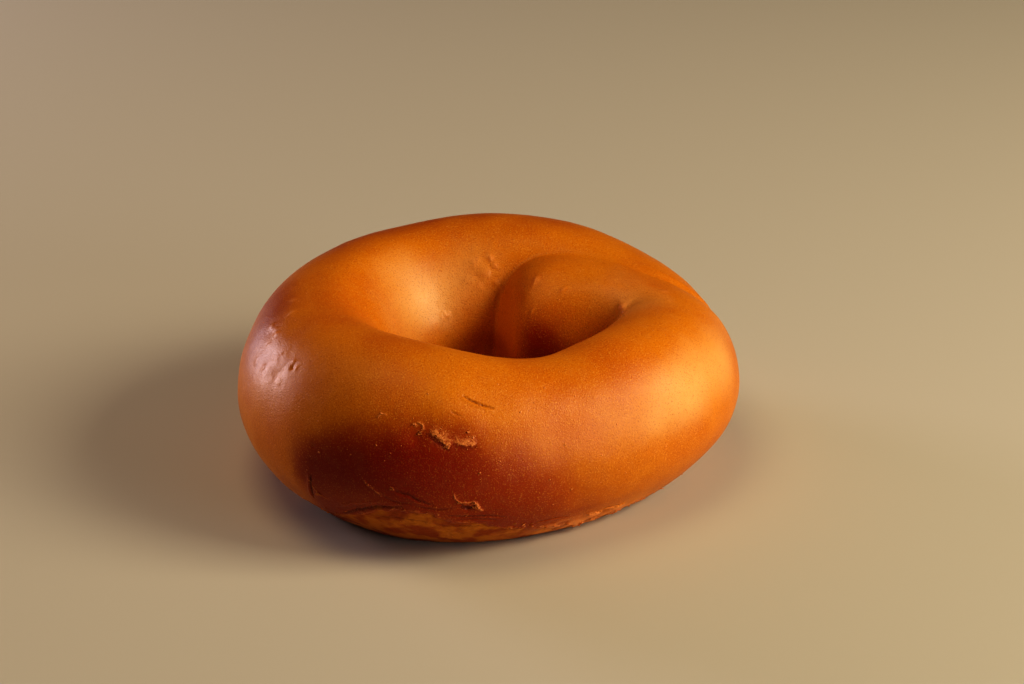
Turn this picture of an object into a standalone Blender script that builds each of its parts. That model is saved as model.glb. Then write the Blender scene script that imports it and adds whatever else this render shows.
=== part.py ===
"""A plain bagel: one rope of boiled and baked dough, closed into a ring.

The rope's two ends overlap at the back right. One end tucks into the hole as a
rounded lobe, the other tapers off along the outside, and the seam between them
crosses the crown on the slant. The underside is flat where it lay on the tray.

Sizes are in millimetres and degrees. The ring angle runs from +X (right) through
+Y (back); the section angle runs from the outer side (0) over the crown (90) to
the side of the hole (180) and round the underside (270). +Z is up, and the origin
is the middle of the underside.
"""

import math

import bpy
from mathutils import Vector

MM = 0.001

# The ring at its four sides, and how much its far diagonals differ.
OUTER_RADIUS = {"right": 53.3, "back": 57.3, "left": 54.4, "front": 47.9, "diagonal": 3.2}
HOLE_RADIUS = {"right": 14.5, "back": 15.8, "left": 17.2, "front": 13.2, "diagonal": -0.4}
CROWN_HEIGHT = {"right": 36.1, "back": 40.9, "left": 41.5, "front": 39.0, "diagonal": 0.0}

# The section of the rope: an ellipse that is a little leaner in the hole and underneath.
CROWN_SHARE = 0.51  # where the crown lies between the outer side and the hole
EQUATOR_SHARE = 0.44  # height of the widest line, of the crown's height
LEANNESS_IN_HOLE = 0.07
LEANNESS_UNDERNEATH = 0.08
TRAY_SINK = 2.4  # how far the round underside would reach below the tray
TRAY_ROUNDING = 1.2  # half height of the bend from the side to the flat underside

# The seam between the two ends: in the hole, across the crown on the slant, and down outside.
SEAM_MIDDLE = 50.0
SEAM_SWEEP_IN_HOLE = 38.0  # ring angle from the middle to where the seam is in the hole
SEAM_SWEEP_OUTSIDE = 28.0  # the same to where it is outside
SEAM_CROSSING = 0.15  # shifts the slanting part from the crown towards the hole
SEAM_SOFTNESS = 0.50
SEAM_ARM = 8.0  # width of the rounded shoulder on each side of the seam
SEAM_DEPTH_IN_HOLE = 2.5
SEAM_DEPTH_ON_CROWN = 0.8
SEAM_DEPTH_OUTSIDE = 1.4

# The pinch, where the inner end leaves the ring: a crease in the hole that dies out on the crown.
PINCH_ANGLE = 14.0
PINCH_SLIDE = 34.0  # ring angle that its line keeps away from the seam outside, where it has no depth
PINCH_ARM = 9.0
PINCH_DEPTH = 5.0

# The lobe that the inner end makes in the hole, between the seam and the pinch.
LOBE_RISE = 5.5
LOBE_NOSE = 13.0  # width of the lobe's round shoulder along the seam
LOBE_NECK = 10.0  # the same along the pinch
HOLE_SIDE = 150.0  # section angle at which the lobe and the pinch are strongest
HOLE_SIDE_REACH = 78.0

# Slow unevenness of hand-rolled dough: (height, waves round the ring, waves round the rope, phase)
UNEVENNESS = ((0.5, 2, -1, 35.0), (0.65, 3, 1, 70.0), (0.7, 4, 0, -175.0))

# The mesh: columns round the ring, closer together at the lobe, and rows round the rope.
COLUMNS = 96
ROWS = 50
LOBE_MIDDLE = 27.5  # ring angle where the columns are closest
CLOSENESS_AT_LOBE = 0.45
SEAM_COLUMN = 18  # this column, counted from +X, is bent along the seam
PINCH_COLUMN = -3  # and this one along the pinch
BEND_REACH = 110.0  # ring angle over which the other columns follow them

CRUST_COLOUR = (0.52, 0.19, 0.035, 1.0)
CRUST_ROUGHNESS = 0.45


def by_side(sizes, angle):
    """A size that passes smoothly through its values at the ring's four sides."""
    mean = (sizes["right"] + sizes["back"] + sizes["left"] + sizes["front"]) / 4
    across = (sizes["right"] - sizes["left"]) / 2
    along = (sizes["back"] - sizes["front"]) / 2
    oval = (sizes["right"] + sizes["left"] - sizes["back"] - sizes["front"]) / 4
    return (
        mean
        + across * math.cos(angle)
        + along * math.sin(angle)
        + oval * math.cos(2 * angle)
        + sizes["diagonal"] * math.sin(2 * angle)
    )


def turned_by(angle, reference):
    """The signed angle from reference to angle, the short way round."""
    return (angle - reference + math.pi) % (2 * math.pi) - math.pi


def hump(distance, reach):
    """1 in the middle, falling smoothly to 0 at reach on both sides."""
    if abs(distance) >= reach:
        return 0.0
    return math.cos(math.pi / 2 * distance / reach) ** 2


def seam_angle(section_angle):
    """The ring angle at which the seam crosses this section angle."""
    towards_outside = math.tanh((math.cos(section_angle) + SEAM_CROSSING) / SEAM_SOFTNESS)
    sweep = SEAM_SWEEP_OUTSIDE if towards_outside > 0 else SEAM_SWEEP_IN_HOLE
    return math.radians(SEAM_MIDDLE - sweep * towards_outside)


def seam_distance(ring_angle, section_angle, ring_radius, section_radius):
    """Millimetres from the seam, square to it: positive towards the outer end, negative towards the lobe."""
    step = 0.01
    slope = (seam_angle(section_angle + step) - seam_angle(section_angle - step)) / (2 * step)
    slant = math.hypot(1.0, slope * ring_radius / section_radius)
    return turned_by(ring_angle, seam_angle(section_angle)) * ring_radius / slant


def seam_depth(section_angle):
    """The seam is deep in the hole, faint on the crown and clear again outside."""
    inwards = -math.cos(section_angle)
    side_depth = SEAM_DEPTH_IN_HOLE if inwards > 0 else SEAM_DEPTH_OUTSIDE
    return SEAM_DEPTH_ON_CROWN + (side_depth - SEAM_DEPTH_ON_CROWN) * abs(inwards)


def pinch_angle(section_angle):
    """The ring angle of the pinch at this section angle."""
    return math.radians(PINCH_ANGLE - PINCH_SLIDE * max(0.0, math.cos(section_angle)))


def shoulder(distance, arm):
    """0 at a crease, rising steeply from it and levelling off at 1 an arm's length away."""
    return 1.0 - max(0.0, 1.0 - max(0.0, distance) / arm) ** 2


def crease(distance, arm):
    """1 on the crease, falling to 0 an arm's length away on both sides."""
    return 1.0 - shoulder(abs(distance), arm)


def rise_at_ends(ring_angle, section_angle, ring_radius, section_radius):
    """How far the surface stands out of the plain ring, or into it, where the two ends meet."""
    from_seam = seam_distance(ring_angle, section_angle, ring_radius, section_radius)
    from_pinch = turned_by(ring_angle, pinch_angle(section_angle)) * ring_radius
    in_hole = hump(turned_by(section_angle, math.radians(HOLE_SIDE)), math.radians(HOLE_SIDE_REACH))
    lobe = LOBE_RISE * shoulder(-from_seam, LOBE_NOSE) * shoulder(from_pinch, LOBE_NECK)
    pinch = PINCH_DEPTH * crease(from_pinch, PINCH_ARM)
    return in_hole * (lobe - pinch) - seam_depth(section_angle) * crease(from_seam, SEAM_ARM)


def unevenness(ring_angle, section_angle):
    return sum(
        height * math.sin(round_ring * ring_angle + round_rope * section_angle + math.radians(phase))
        for height, round_ring, round_rope, phase in UNEVENNESS
    )


def leanness(across, up):
    """How much leaner than an ellipse this quarter of the section is, half way round its bend."""
    if up < 0:
        return LEANNESS_UNDERNEATH
    return LEANNESS_IN_HOLE if across < 0 else 0.0


def on_tray(height):
    """Height above the tray: the round underside flattens where it would sink below it."""
    if height >= TRAY_ROUNDING:
        return height
    if height <= -TRAY_ROUNDING:
        return 0.0
    return (height + TRAY_ROUNDING) ** 2 / (4 * TRAY_ROUNDING)


def surface_point(ring_angle, section_angle):
    """The point of the bagel's surface at these two angles, in millimetres."""
    outer = by_side(OUTER_RADIUS, ring_angle)
    hole = by_side(HOLE_RADIUS, ring_angle)
    crown = by_side(CROWN_HEIGHT, ring_angle)
    crown_radius = outer - (outer - hole) * CROWN_SHARE
    equator = crown * EQUATOR_SHARE
    across, up = math.cos(section_angle), math.sin(section_angle)
    half_width = outer - crown_radius if across > 0 else crown_radius - hole
    half_height = crown - equator if up > 0 else equator + TRAY_SINK
    section_radius = (half_width + half_height) / 2
    lean = 1.0 - leanness(across, up) * (1.0 - math.cos(4 * section_angle)) / 2
    ring_radius = crown_radius + half_width * across
    rise = rise_at_ends(ring_angle, section_angle, ring_radius, section_radius)
    swell = (rise + unevenness(ring_angle, section_angle)) / section_radius
    radius = crown_radius + half_width * across * (lean + swell)
    height = equator + half_height * up * (lean + (swell if up > 0 else 0.0))
    return Vector((radius * math.cos(ring_angle), radius * math.sin(ring_angle), on_tray(height)))


def bunched(even_angle):
    """The ring angle of an even column once the columns are drawn together at the lobe."""
    middle = math.radians(LOBE_MIDDLE)
    from_lobe = turned_by(even_angle, middle)
    return middle + from_lobe - CLOSENESS_AT_LOBE * math.sin(from_lobe)


def bunched_column(column):
    return bunched(column * 2 * math.pi / COLUMNS)


def follow(angle, own, other):
    """1 at a crease's own column, 0 at the other crease's column and far away on the near side."""
    from_own = turned_by(angle, own)
    towards_other = from_own * (other - own) > 0
    return hump(from_own, abs(other - own) if towards_other else math.radians(BEND_REACH))


def column_angle(even_angle, section_angle):
    """Where this column crosses this section angle: one column runs along each crease."""
    angle = bunched(even_angle)
    at_seam = bunched_column(SEAM_COLUMN)
    at_pinch = bunched_column(PINCH_COLUMN)
    return (
        angle
        + follow(angle, at_seam, at_pinch) * (seam_angle(section_angle) - at_seam)
        + follow(angle, at_pinch, at_seam) * (pinch_angle(section_angle) - at_pinch)
    )


def crust_material():
    material = bpy.data.materials.new("baked_crust")
    material.use_nodes = True
    shader = material.node_tree.nodes["Principled BSDF"]
    shader.inputs["Base Color"].default_value = CRUST_COLOUR
    shader.inputs["Roughness"].default_value = CRUST_ROUGHNESS
    shader.inputs["Metallic"].default_value = 0.0
    return material


def dough_ring():
    """A torus whose points are moved onto the bagel's surface."""
    torus_radius, torus_section = 2.0, 1.0
    bpy.ops.mesh.primitive_torus_add(
        major_segments=COLUMNS,
        minor_segments=ROWS,
        major_radius=torus_radius,
        minor_radius=torus_section,
    )
    ring = bpy.context.object
    ring.name = "bagel"
    ring.data.name = "bagel"
    for vertex in ring.data.vertices:
        x, y, z = vertex.co
        even_angle = math.atan2(y, x)
        section_angle = math.atan2(z, math.hypot(x, y) - torus_radius)
        vertex.co = surface_point(column_angle(even_angle, section_angle), section_angle) * MM
    return ring


def centre_on_origin(ring):
    """Puts the middle of the ring's box over the origin. It stands at height 0 already."""
    xs = [vertex.co.x for vertex in ring.data.vertices]
    ys = [vertex.co.y for vertex in ring.data.vertices]
    middle = Vector(((min(xs) + max(xs)) / 2, (min(ys) + max(ys)) / 2, 0.0))
    for vertex in ring.data.vertices:
        vertex.co -= middle


def main():
    for obj in list(bpy.data.objects):
        bpy.data.objects.remove(obj, do_unlink=True)
    collection = bpy.data.collections.new("bagel")
    bpy.context.scene.collection.children.link(collection)
    ring = dough_ring()
    centre_on_origin(ring)
    ring.data.materials.append(crust_material())
    ring.data.shade_smooth()
    for holder in list(ring.users_collection):
        holder.objects.unlink(ring)
    collection.objects.link(ring)


main()
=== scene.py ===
"""Looks of a plain bagel: the baked crust with its blisters, scab, cracks and ragged foot.

Places on the crust are given as two angles, in degrees. The ring angle runs from +X
(right) through +Y (back). The section angle runs round the rope of dough, from the
outer side (0) over the crown (90) to the side of the hole (180) and underneath (270).
Sizes on the crust are in millimetres.
"""

import math

import bmesh
import bpy
import numpy as np
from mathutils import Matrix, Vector, noise
from mathutils.bvhtree import BVHTree


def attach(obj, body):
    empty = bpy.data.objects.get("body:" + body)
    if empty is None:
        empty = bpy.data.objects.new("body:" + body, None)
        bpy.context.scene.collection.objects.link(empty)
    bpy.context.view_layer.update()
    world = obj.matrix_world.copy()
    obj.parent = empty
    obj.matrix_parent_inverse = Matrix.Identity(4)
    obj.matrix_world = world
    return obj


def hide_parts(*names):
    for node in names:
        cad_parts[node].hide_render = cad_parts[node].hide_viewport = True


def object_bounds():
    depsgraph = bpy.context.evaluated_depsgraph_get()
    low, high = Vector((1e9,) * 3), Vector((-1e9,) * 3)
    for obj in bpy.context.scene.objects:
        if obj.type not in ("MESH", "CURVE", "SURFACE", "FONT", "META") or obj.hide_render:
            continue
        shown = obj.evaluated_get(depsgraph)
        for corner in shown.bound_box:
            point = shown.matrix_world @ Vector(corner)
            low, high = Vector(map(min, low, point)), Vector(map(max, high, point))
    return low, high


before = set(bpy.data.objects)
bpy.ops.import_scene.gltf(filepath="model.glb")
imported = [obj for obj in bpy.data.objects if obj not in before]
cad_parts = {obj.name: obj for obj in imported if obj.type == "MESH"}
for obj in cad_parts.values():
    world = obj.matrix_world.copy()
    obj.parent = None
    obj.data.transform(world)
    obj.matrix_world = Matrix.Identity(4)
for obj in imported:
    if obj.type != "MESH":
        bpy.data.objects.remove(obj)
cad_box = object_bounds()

MM = 0.001

# The ring of dough, as the CAD model has it.
HOLE_MIDDLE = (-0.33, -4.1)
OUTER_RADIUS = {"right": 53.3, "back": 57.3, "left": 54.4, "front": 47.9, "diagonal": 3.2}
HOLE_RADIUS = {"right": 14.5, "back": 15.8, "left": 17.2, "front": 13.2, "diagonal": -0.4}
CROWN_HEIGHT = {"right": 36.1, "back": 40.9, "left": 41.5, "front": 39.0, "diagonal": 0.0}
CROWN_SHARE = 0.51
EQUATOR_SHARE = 0.44
ROPE_RADIUS = 20.0  # from the middle of the rope to its crust, on average

# The seam where the rope's ends overlap, and the pinch beside the lobe in the hole.
SEAM_MIDDLE = 50.0
SEAM_SWEEP_IN_HOLE = 38.0
SEAM_SWEEP_OUTSIDE = 28.0
SEAM_CROSSING = 0.15
SEAM_SOFTNESS = 0.50
FOLD_SECTIONS = (-10.0, 25.0, 66.0, 84.0)  # the fold beside the seam comes and goes over these
FOLD_GROOVE = (0.8, 0.45)  # half width and depth of the groove along the seam
FOLD_LIP = (2.2, 2.2, 0.40)  # how far the lip lies from the seam, its reach and height
FOLD_CUT_OFF = 8.0

# The mesh: a coarse grid, made finer where the crust has small features. The crust comes to
# 270,958 triangles, which is over the 200,000 that one piece should have.
COLUMNS = 272
ROWS = 100
SHEET_START = (100.0, -90.0)  # the sheet's sides meet at the back and underneath
SMOOTHING_LEVELS = 3
PAIRING_ANGLE = 60.0  # CAD triangles that meet at less than this are joined before smoothing
CAD_WELD = 1e-6  # metres between corners that become one
SHEET_WELD = 2e-6  # too little for 66 edges at the back, whose sides lie 0.005 mm apart
BELOW_CAD_SKIN = 0.14  # the relief rises from this far under the CAD surface
BOX_MARGIN = 0.02
FOOT_REACH = 1.6  # relief fades out over this height above the tray

# Zones of finer mesh: ring angle and section angle of the middle, their reaches, level.
FINE_ZONES = (
    ((-85.0, 15.0), (56.0, 66.0), 1),
    ((-88.0, 12.0), (50.0, 58.0), 2),
    ((-160.0, 50.0), (30.0, 42.0), 1),
    ((-160.0, 55.0), (22.0, 24.0), 2),
    ((45.0, 130.0), (60.0, 60.0), 1),
    ((108.0, 128.0), (22.0, 30.0), 2),
)
# Finer still round each crack, flap and ridge: millimetres from it, level.
CLOSE_ZONES = ((0.9, 3), (0.36, 4))
# And along the crust's edge in front: how far above it, reach, level, and the level that is in front.
EDGE_ZONE = (0.6, 1.5, 3, 2)
FINEST_LEVEL = 4

# Layers of smooth noise: size of the waves in millimetres, where they start, their share.
WAVES = ((11.0, 0.0, 0.20), (4.5, 0.0, 0.06), (1.6, 0.0, 0.012))
CRUMBS = ((0.50, 5.0, 1.0), (0.24, 9.0, 0.7))
RUMPLES = ((3.0, 61.0, 1.0), (1.2, 67.0, 0.35))
STRAY_ACROSS = ((0.95, 11.0, 1.0), (0.42, 23.0, 0.6))
STRAY_ALONG = ((0.95, 37.0, 1.0), (0.42, 51.0, 0.6))
EDGE_RAGGEDNESS = ((7.0, 0.0, 1.2), (2.5, 0.0, 0.8), (0.8, 0.0, 0.35))
EDGE_FLAKING = ((2.2, 3.0, 1.3),)
FOLD_STRAY = ((6.0, 71.0, 0.7),)
BROWNING_AND_SHADE_STRAY = ((8.0, 0.0, 1.3), (2.0, 0.0, 0.6))
BROWNING_AND_SHADE_SWAY = ((9.0, 7.0, 5.0), (2.0, 7.0, 1.5))
PLACE_STRAY = ((9.0, 19.0, 0.22),)
GRAIN_CLUSTERS = ((5.0, 17.0, 1.1),)


def by_side(sizes, ring):
    """A size that passes smoothly through its values at the ring's four sides."""
    angle = np.radians(ring)
    mean = (sizes["right"] + sizes["back"] + sizes["left"] + sizes["front"]) / 4
    across = (sizes["right"] - sizes["left"]) / 2
    along = (sizes["back"] - sizes["front"]) / 2
    oval = (sizes["right"] + sizes["left"] - sizes["back"] - sizes["front"]) / 4
    return (
        mean
        + across * np.cos(angle)
        + along * np.sin(angle)
        + oval * np.cos(2 * angle)
        + sizes["diagonal"] * np.sin(2 * angle)
    )


def rope_middle(ring):
    """Radius and height of the middle of the rope at a ring angle."""
    outer = by_side(OUTER_RADIUS, ring)
    hole = by_side(HOLE_RADIUS, ring)
    return outer - (outer - hole) * CROWN_SHARE, by_side(CROWN_HEIGHT, ring) * EQUATOR_SHARE


def turned_by(angle, reference):
    """The signed angle in degrees from reference to angle, the short way round."""
    return (angle - reference + 180.0) % 360.0 - 180.0


def rise(value, start, end):
    """0 before start, 1 after end, smooth between."""
    share = np.clip((value - start) / (end - start), 0.0, 1.0)
    return share * share * (3 - 2 * share)


def hill(distance, reach):
    """1 in the middle, falling smoothly to nearly 0 at reach."""
    return np.exp(-3.0 * (distance / reach) ** 2)


def wander(points, size, start=0.0):
    """Smooth noise of about -1 to 1 at each point, with waves of this size in millimetres."""
    return np.array([noise.noise(Vector(p) / size + Vector((start, start, start))) for p in points])


def layered(points, layers):
    """Smooth noise in several layers."""
    return sum(share * wander(points, size, start) for size, start, share in layers)


class Crust:
    """Points of the crust by their two angles, and how far they are from its features."""

    def __init__(self, ring, section):
        self.ring = ring
        self.section = section
        self.reach = rope_middle(ring)[0] + ROPE_RADIUS * np.cos(np.radians(section))
        self.across_scale = np.radians(self.reach)
        self.along_scale = math.radians(ROPE_RADIUS)
        self.stray_across = 0.0
        self.stray_along = 0.0

    def even_points(self):
        """The points on an even ring of round section, in millimetres, for noise to read."""
        ring, section = np.radians(self.ring), np.radians(self.section)
        flat = [self.reach * np.cos(ring), self.reach * np.sin(ring), ROPE_RADIUS * np.sin(section)]
        return np.stack(flat, axis=1)

    def roughen(self):
        """From now on distances to paths and spots stray a little, so that no line is ruled."""
        points = self.even_points()
        self.stray_across = layered(points, STRAY_ACROSS)
        self.stray_along = layered(points, STRAY_ALONG)

    def from_spot(self, ring, section, stray=0.0):
        """Millimetres from a spot, over the crust."""
        return np.hypot(
            turned_by(self.ring, ring) * self.across_scale + stray * self.stray_across,
            turned_by(self.section, section) * self.along_scale + stray * self.stray_along,
        )

    def from_path(self, path, stray=0.0):
        """Millimetres from a path, positive on its left as it runs, and the share run so far."""
        start_ring, start_section = path[0]
        scale = math.radians(
            rope_middle(start_ring)[0] + ROPE_RADIUS * math.cos(math.radians(start_section))
        )
        x = turned_by(self.ring, start_ring) * scale + stray * self.stray_across
        y = turned_by(self.section, start_section) * self.along_scale + stray * self.stray_along
        corners = [
            (turned_by(r, start_ring) * scale, turned_by(t, start_section) * self.along_scale)
            for r, t in path
        ]
        lengths = [math.dist(a, b) for a, b in zip(corners, corners[1:])]
        nearest = np.full(len(x), np.inf)
        signed = np.full(len(x), np.inf)
        run = np.zeros(len(x))
        before = 0.0
        for (ax, ay), (bx, by), length in zip(corners, corners[1:], lengths):
            ux, uy = (bx - ax) / length, (by - ay) / length
            along = np.clip((x - ax) * ux + (y - ay) * uy, 0.0, length)
            dx, dy = x - ax - along * ux, y - ay - along * uy
            distance = np.hypot(dx, dy)
            closer = distance < nearest
            nearest = np.where(closer, distance, nearest)
            signed = np.where(closer, np.copysign(distance, ux * dy - uy * dx), signed)
            run = np.where(closer, (before + along) / sum(lengths), run)
            before += length
        return signed, run


# Cracks: path, half width, depth, height of the lip beside it.
CRACKS = (
    (((-96.7, 61.5), (-95.6, 59.8), (-93.4, 58.2), (-90.5, 56.6), (-87.7, 55.4)), 0.22, 0.22, 0.10),
    (((-99.5, 52.0), (-98.2, 50.2), (-96.4, 49.4)), 0.18, 0.10, 0.05),
    (((-111.0, 3.0), (-107.6, 1.0), (-105.0, -3.0), (-102.2, -6.0)), 0.30, 0.20, 0.04),
    (((-131.0, 1.0), (-131.6, -8.0), (-132.8, -20.0)), 0.24, 0.36, 0.16),
    (((-99.5, -15.0), (-94.0, -17.5), (-89.0, -19.0), (-85.0, -24.0)), 0.32, 0.18, 0.03),
    (((-97.5, -19.5), (-92.5, -20.5), (-87.5, -25.0)), 0.28, 0.15, 0.03),
    (((-126.0, -28.0), (-120.5, -17.0), (-115.0, -10.0), (-109.0, -8.0)), 0.34, 0.28, 0.05),
    (((-106.5, -6.5), (-101.5, -9.5), (-98.0, -8.5)), 0.28, 0.15, 0.03),
    (((-113.5, -1.5), (-111.0, -4.5), (-107.0, -5.0)), 0.26, 0.13, 0.03),
    (((-118.0, -21.0), (-111.0, -19.0), (-104.0, -22.0)), 0.32, 0.13, 0.03),
    (((-103.0, -27.0), (-96.0, -30.0), (-90.0, -33.0)), 0.32, 0.13, 0.03),
    (((-77.0, -39.0), (-71.0, -38.5), (-66.0, -41.0)), 0.28, 0.15, 0.03),
    (((-58.0, -46.0), (-52.0, -44.5), (-47.0, -45.5)), 0.28, 0.15, 0.03),
)
CRACK_STRAY = 0.45  # in half widths, as the next three: how far its sides stray
CRACK_REACH = 1.9
CRACK_CUT_OFF = 4.0
CRACK_LIP = (2.4, 2.0)  # how far off the lip lies, and its reach
CRACK_UNEVENNESS = (0.35, 0.4, 1.3)  # how much crumbs change the depth, its least and most share
CRACK_PAINTED_SHADE = (2.4, 0.75)  # painted shade in the crack: for each millimetre of depth, and at most

# Flaps of lifted skin, highest along a torn edge:
# path, width above it, height, drop below it, how pale.
FLAPS = (
    (((-103.8, 40.0), (-101.8, 36.8), (-100.0, 34.0), (-98.2, 32.2)), 1.45, 0.17, 0.16, 0.80),
    (((-97.9, 35.2), (-96.0, 33.9), (-94.0, 33.9), (-92.4, 35.0)), 1.15, 0.13, 0.10, 0.72),
    (((-96.0, -5.2), (-94.0, -6.6), (-92.6, -6.2)), 0.55, 0.16, 0.22, 0.10),
    (((-126.5, -20.0), (-120.0, -10.0), (-113.0, -5.5)), 0.50, 0.12, 0.06, 0.05),
)
SCAB_FLAPS = FLAPS[:2]  # the ones that shed grains and flakes
FLAP_STRAY = 0.42  # how far its torn edge strays
FLAP_REACH = 1.5  # in widths, as the next line
FLAP_CUT_OFF = 3.0
FLAP_EDGE = 0.50  # millimetres over which the torn edge falls
FLAP_HOLLOW = (0.85, 1.0)  # how far below the edge the hollow lies, and its reach
FLAP_UNEVENNESS = 0.40
FLAP_PALENESS = (0.90, 1.4)  # of its height, and how much crumbs change that
FLAP_PAINTED_SHADE = (3.6, 0.9)  # painted shade of the hollow under the torn edge: for each millimetre of drop, and at most

# Ridges of torn skin: path, half width, height, how pale.
RIDGES = (
    (((-106.9, 44.0), (-105.7, 42.6), (-105.3, 40.4), (-106.0, 38.2)), 0.24, 0.20, 0.75),
    (((-107.6, 42.5), (-107.0, 41.0)), 0.18, 0.12, 0.50),
    (((-100.4, 31.8), (-98.8, 30.6)), 0.20, 0.12, 0.55),
    (((-116.4, 42.0), (-115.8, 44.4), (-114.2, 44.8)), 0.20, 0.07, 0.30),
    (((-118.3, 9.0), (-116.4, 4.0), (-115.0, 2.0), (-113.4, -1.5)), 0.22, 0.10, 0.16),
    (((-111.5, 5.5), (-110.6, 3.0)), 0.16, 0.08, 0.15),
    (((-97.6, 3.0), (-97.3, -1.0), (-96.3, -3.9), (-94.6, -4.3), (-92.9, -4.0)), 0.20, 0.18, 0.65),
    (((-93.4, -3.6), (-92.3, -6.5), (-92.0, -9.5), (-90.9, -13.0)), 0.32, 0.26, 0.85),
    (((-93.6, -8.0), (-92.4, -9.4)), 0.13, 0.16, 0.55),
    (((-131.9, -2.0), (-131.0, -7.0), (-129.8, -11.5), (-127.6, -14.0)), 0.18, 0.20, 0.45),
)
RIDGE_STRAY = 0.10
RIDGE_REACH = 1.8  # in half widths, as the next line
RIDGE_CUT_OFF = 3.0
RIDGE_SHARE = (0.7, 0.8)  # of the height and the paleness in the list
RIDGE_UNEVENNESS = 0.25
RIDGE_PALENESS = (0.9, 1.0)  # of its height, and how much crumbs change that

# Blisters and grains baked into the skin: ring angle, section angle, radius, height, how pale. The
# paleness is partly pale skin and partly a painted highlight where a blister catches the light.
BLISTERS = (
    (175.1, 73.0, 0.9, 0.08, 0.20),
    (-176.5, 74.5, 1.0, 0.14, 0.50),
    (-168.5, 72.0, 1.2, 0.14, 0.50),
    (-168.5, 59.0, 1.3, 0.15, 0.30),
    (-165.5, 60.5, 0.9, 0.12, 0.25),
    (-162.8, 60.0, 0.9, 0.16, 0.50),
    (-162.0, 53.0, 0.9, 0.13, 0.30),
    (-153.5, 52.0, 1.4, 0.12, 0.10),
    (-157.0, 42.5, 0.9, 0.14, 0.40),
    (-162.3, 41.0, 1.5, 0.12, 0.10),
    (-148.2, 43.0, 1.4, 0.11, 0.05),
    (-147.0, 55.5, 0.5, 0.14, 0.60),
    (-144.4, 53.5, 0.5, 0.15, 0.65),
    (89.7, 119.0, 1.2, 0.22, 0.40),
    (87.0, 124.0, 0.9, 0.18, 0.35),
    (91.5, 129.0, 1.3, 0.14, 0.25),
    (86.0, 134.0, 0.9, 0.16, 0.30),
    (95.5, 136.0, 1.5, 0.10, 0.15),
    (97.0, 121.0, 1.8, 0.10, 0.20),
    (58.3, 134.0, 1.2, 0.22, 0.35),
    (39.8, 131.0, 0.9, 0.18, 0.25),
    (49.8, 149.0, 0.8, 0.14, 0.25),
    (13.0, 77.0, 0.9, 0.14, 0.25),
    (15.7, 106.0, 1.9, 0.45, 0.75),
    (16.7, 76.0, 0.9, 0.14, 0.30),
    (9.9, 76.0, 0.8, 0.14, 0.25),
    (119.8, 152.0, 1.3, 0.26, 0.30),
    (128.5, 157.0, 1.1, 0.26, 0.35),
)
BLISTER_STRAY = 0.35  # in radii, as the next: how far its outline strays
BLISTER_REACH = 1.1
BLISTER_SHARE = 1.3  # of the height in the list

# Patches of rumpled skin: ring angle, section angle, reach, height of the lumps.
RUMPLED = (
    (-162.0, 56.0, 16.0, 0.08),
    (-150.0, 48.0, 8.0, 0.07),
    (98.0, 126.0, 11.0, 0.17),
    (123.0, 154.0, 7.0, 0.22),
)

# Broad lumps and dents: ring angle, section angle, reach, height.
LUMPS = (
    (-100.0, 55.0, 7.5, 0.42),
    (-94.0, 45.0, 4.5, 0.22),
    (-106.5, 35.0, 3.6, -0.42),
    (-150.0, 45.0, 3.6, -0.20),
    (-146.0, 52.3, 0.8, -0.32),
    (-158.0, 48.0, 3.0, -0.12),
    (-94.6, -9.5, 1.0, -0.26),
    (-130.8, 18.0, 0.8, -0.20),
    (-160.0, 62.0, 5.0, 0.20),
)

# The lower edge of the browned crust, over the pale foot: (ring angle, section angle).
CRUST_EDGE = (
    (-175.0, -44.0),
    (-164.0, -34.0),
    (-155.0, -36.0),
    (-146.0, -40.0),
    (-138.0, -40.0),
    (-130.0, -38.0),
    (-120.0, -21.0),
    (-115.7, -15.0),
    (-109.0, -11.5),
    (-103.2, -14.0),
    (-97.7, -23.0),
    (-88.0, -33.0),
    (-81.0, -44.0),
    (-73.0, -53.0),
    (-65.0, -61.0),
    (-56.0, -64.0),
    (-46.0, -62.0),
    (-37.0, -58.0),
    (-20.0, -52.0),
    (10.0, -52.0),
    (60.0, -52.0),
    (120.0, -46.0),
    (160.0, -50.0),
)
EDGE_IN_HOLE = 240.0
EDGE_CUT_OFF = 4.0  # the edge is ragged within this distance
EDGE_OUTSIDE = (-20.0, 5.0)  # degrees below the level over which the flaking comes in
EDGE_FLAKED = 0.5  # share of the edge that flakes
EDGE_LIP = (0.40, 0.65, 0.14)  # the curl along it: how far above it, its reach and height
EDGE_LIP_UNEVENNESS = 0.8
EDGE_LIP_PALENESS = (0.4, 0.5, 1.3)  # at most, of its height, and how much crumbs change that

# The foot under the edge. Streaks: their length and breadth, where they start, share.
FOOT_STEP = 0.25  # how far the foot lies under the crust beside it
FOOT_STEP_ENDS = (-0.25, 0.40)  # millimetres below the edge
FOOT_WRINKLE = 0.16
FOOT_WRINKLES = ((1.7, 1.6, 1.0), (1.5, 0.7, 0.5))  # how flat they lie, their size, their share
FOOT_ISLANDS = ((4.5, 1.8, 13.0, 1.0), (1.8, 0.8, 43.0, 0.5))
FOOT_ISLAND_REACH = 1.5
FOOT_TINT_ENDS = (-0.8, 1.0)

# The strip of pale flaking skin above the foot.
FLAKY_RINGS = (-58.0, 34.0)  # its middle and reach
FLAKY_SECTIONS = (-68.0, -61.0, -51.0, -42.0)  # it comes and goes over these
FLAKY_STREAKS = (3.0, 1.5, 31.0)
FLAKY_PATCHES = (0.7, 1.8, 0.40)  # share covered, how much streaks and crumbs change it
FLAKY_HEIGHTS = (0.50, 0.12, 0.10)  # of its patches, of its crumbs, and how far it is sunk
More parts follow.
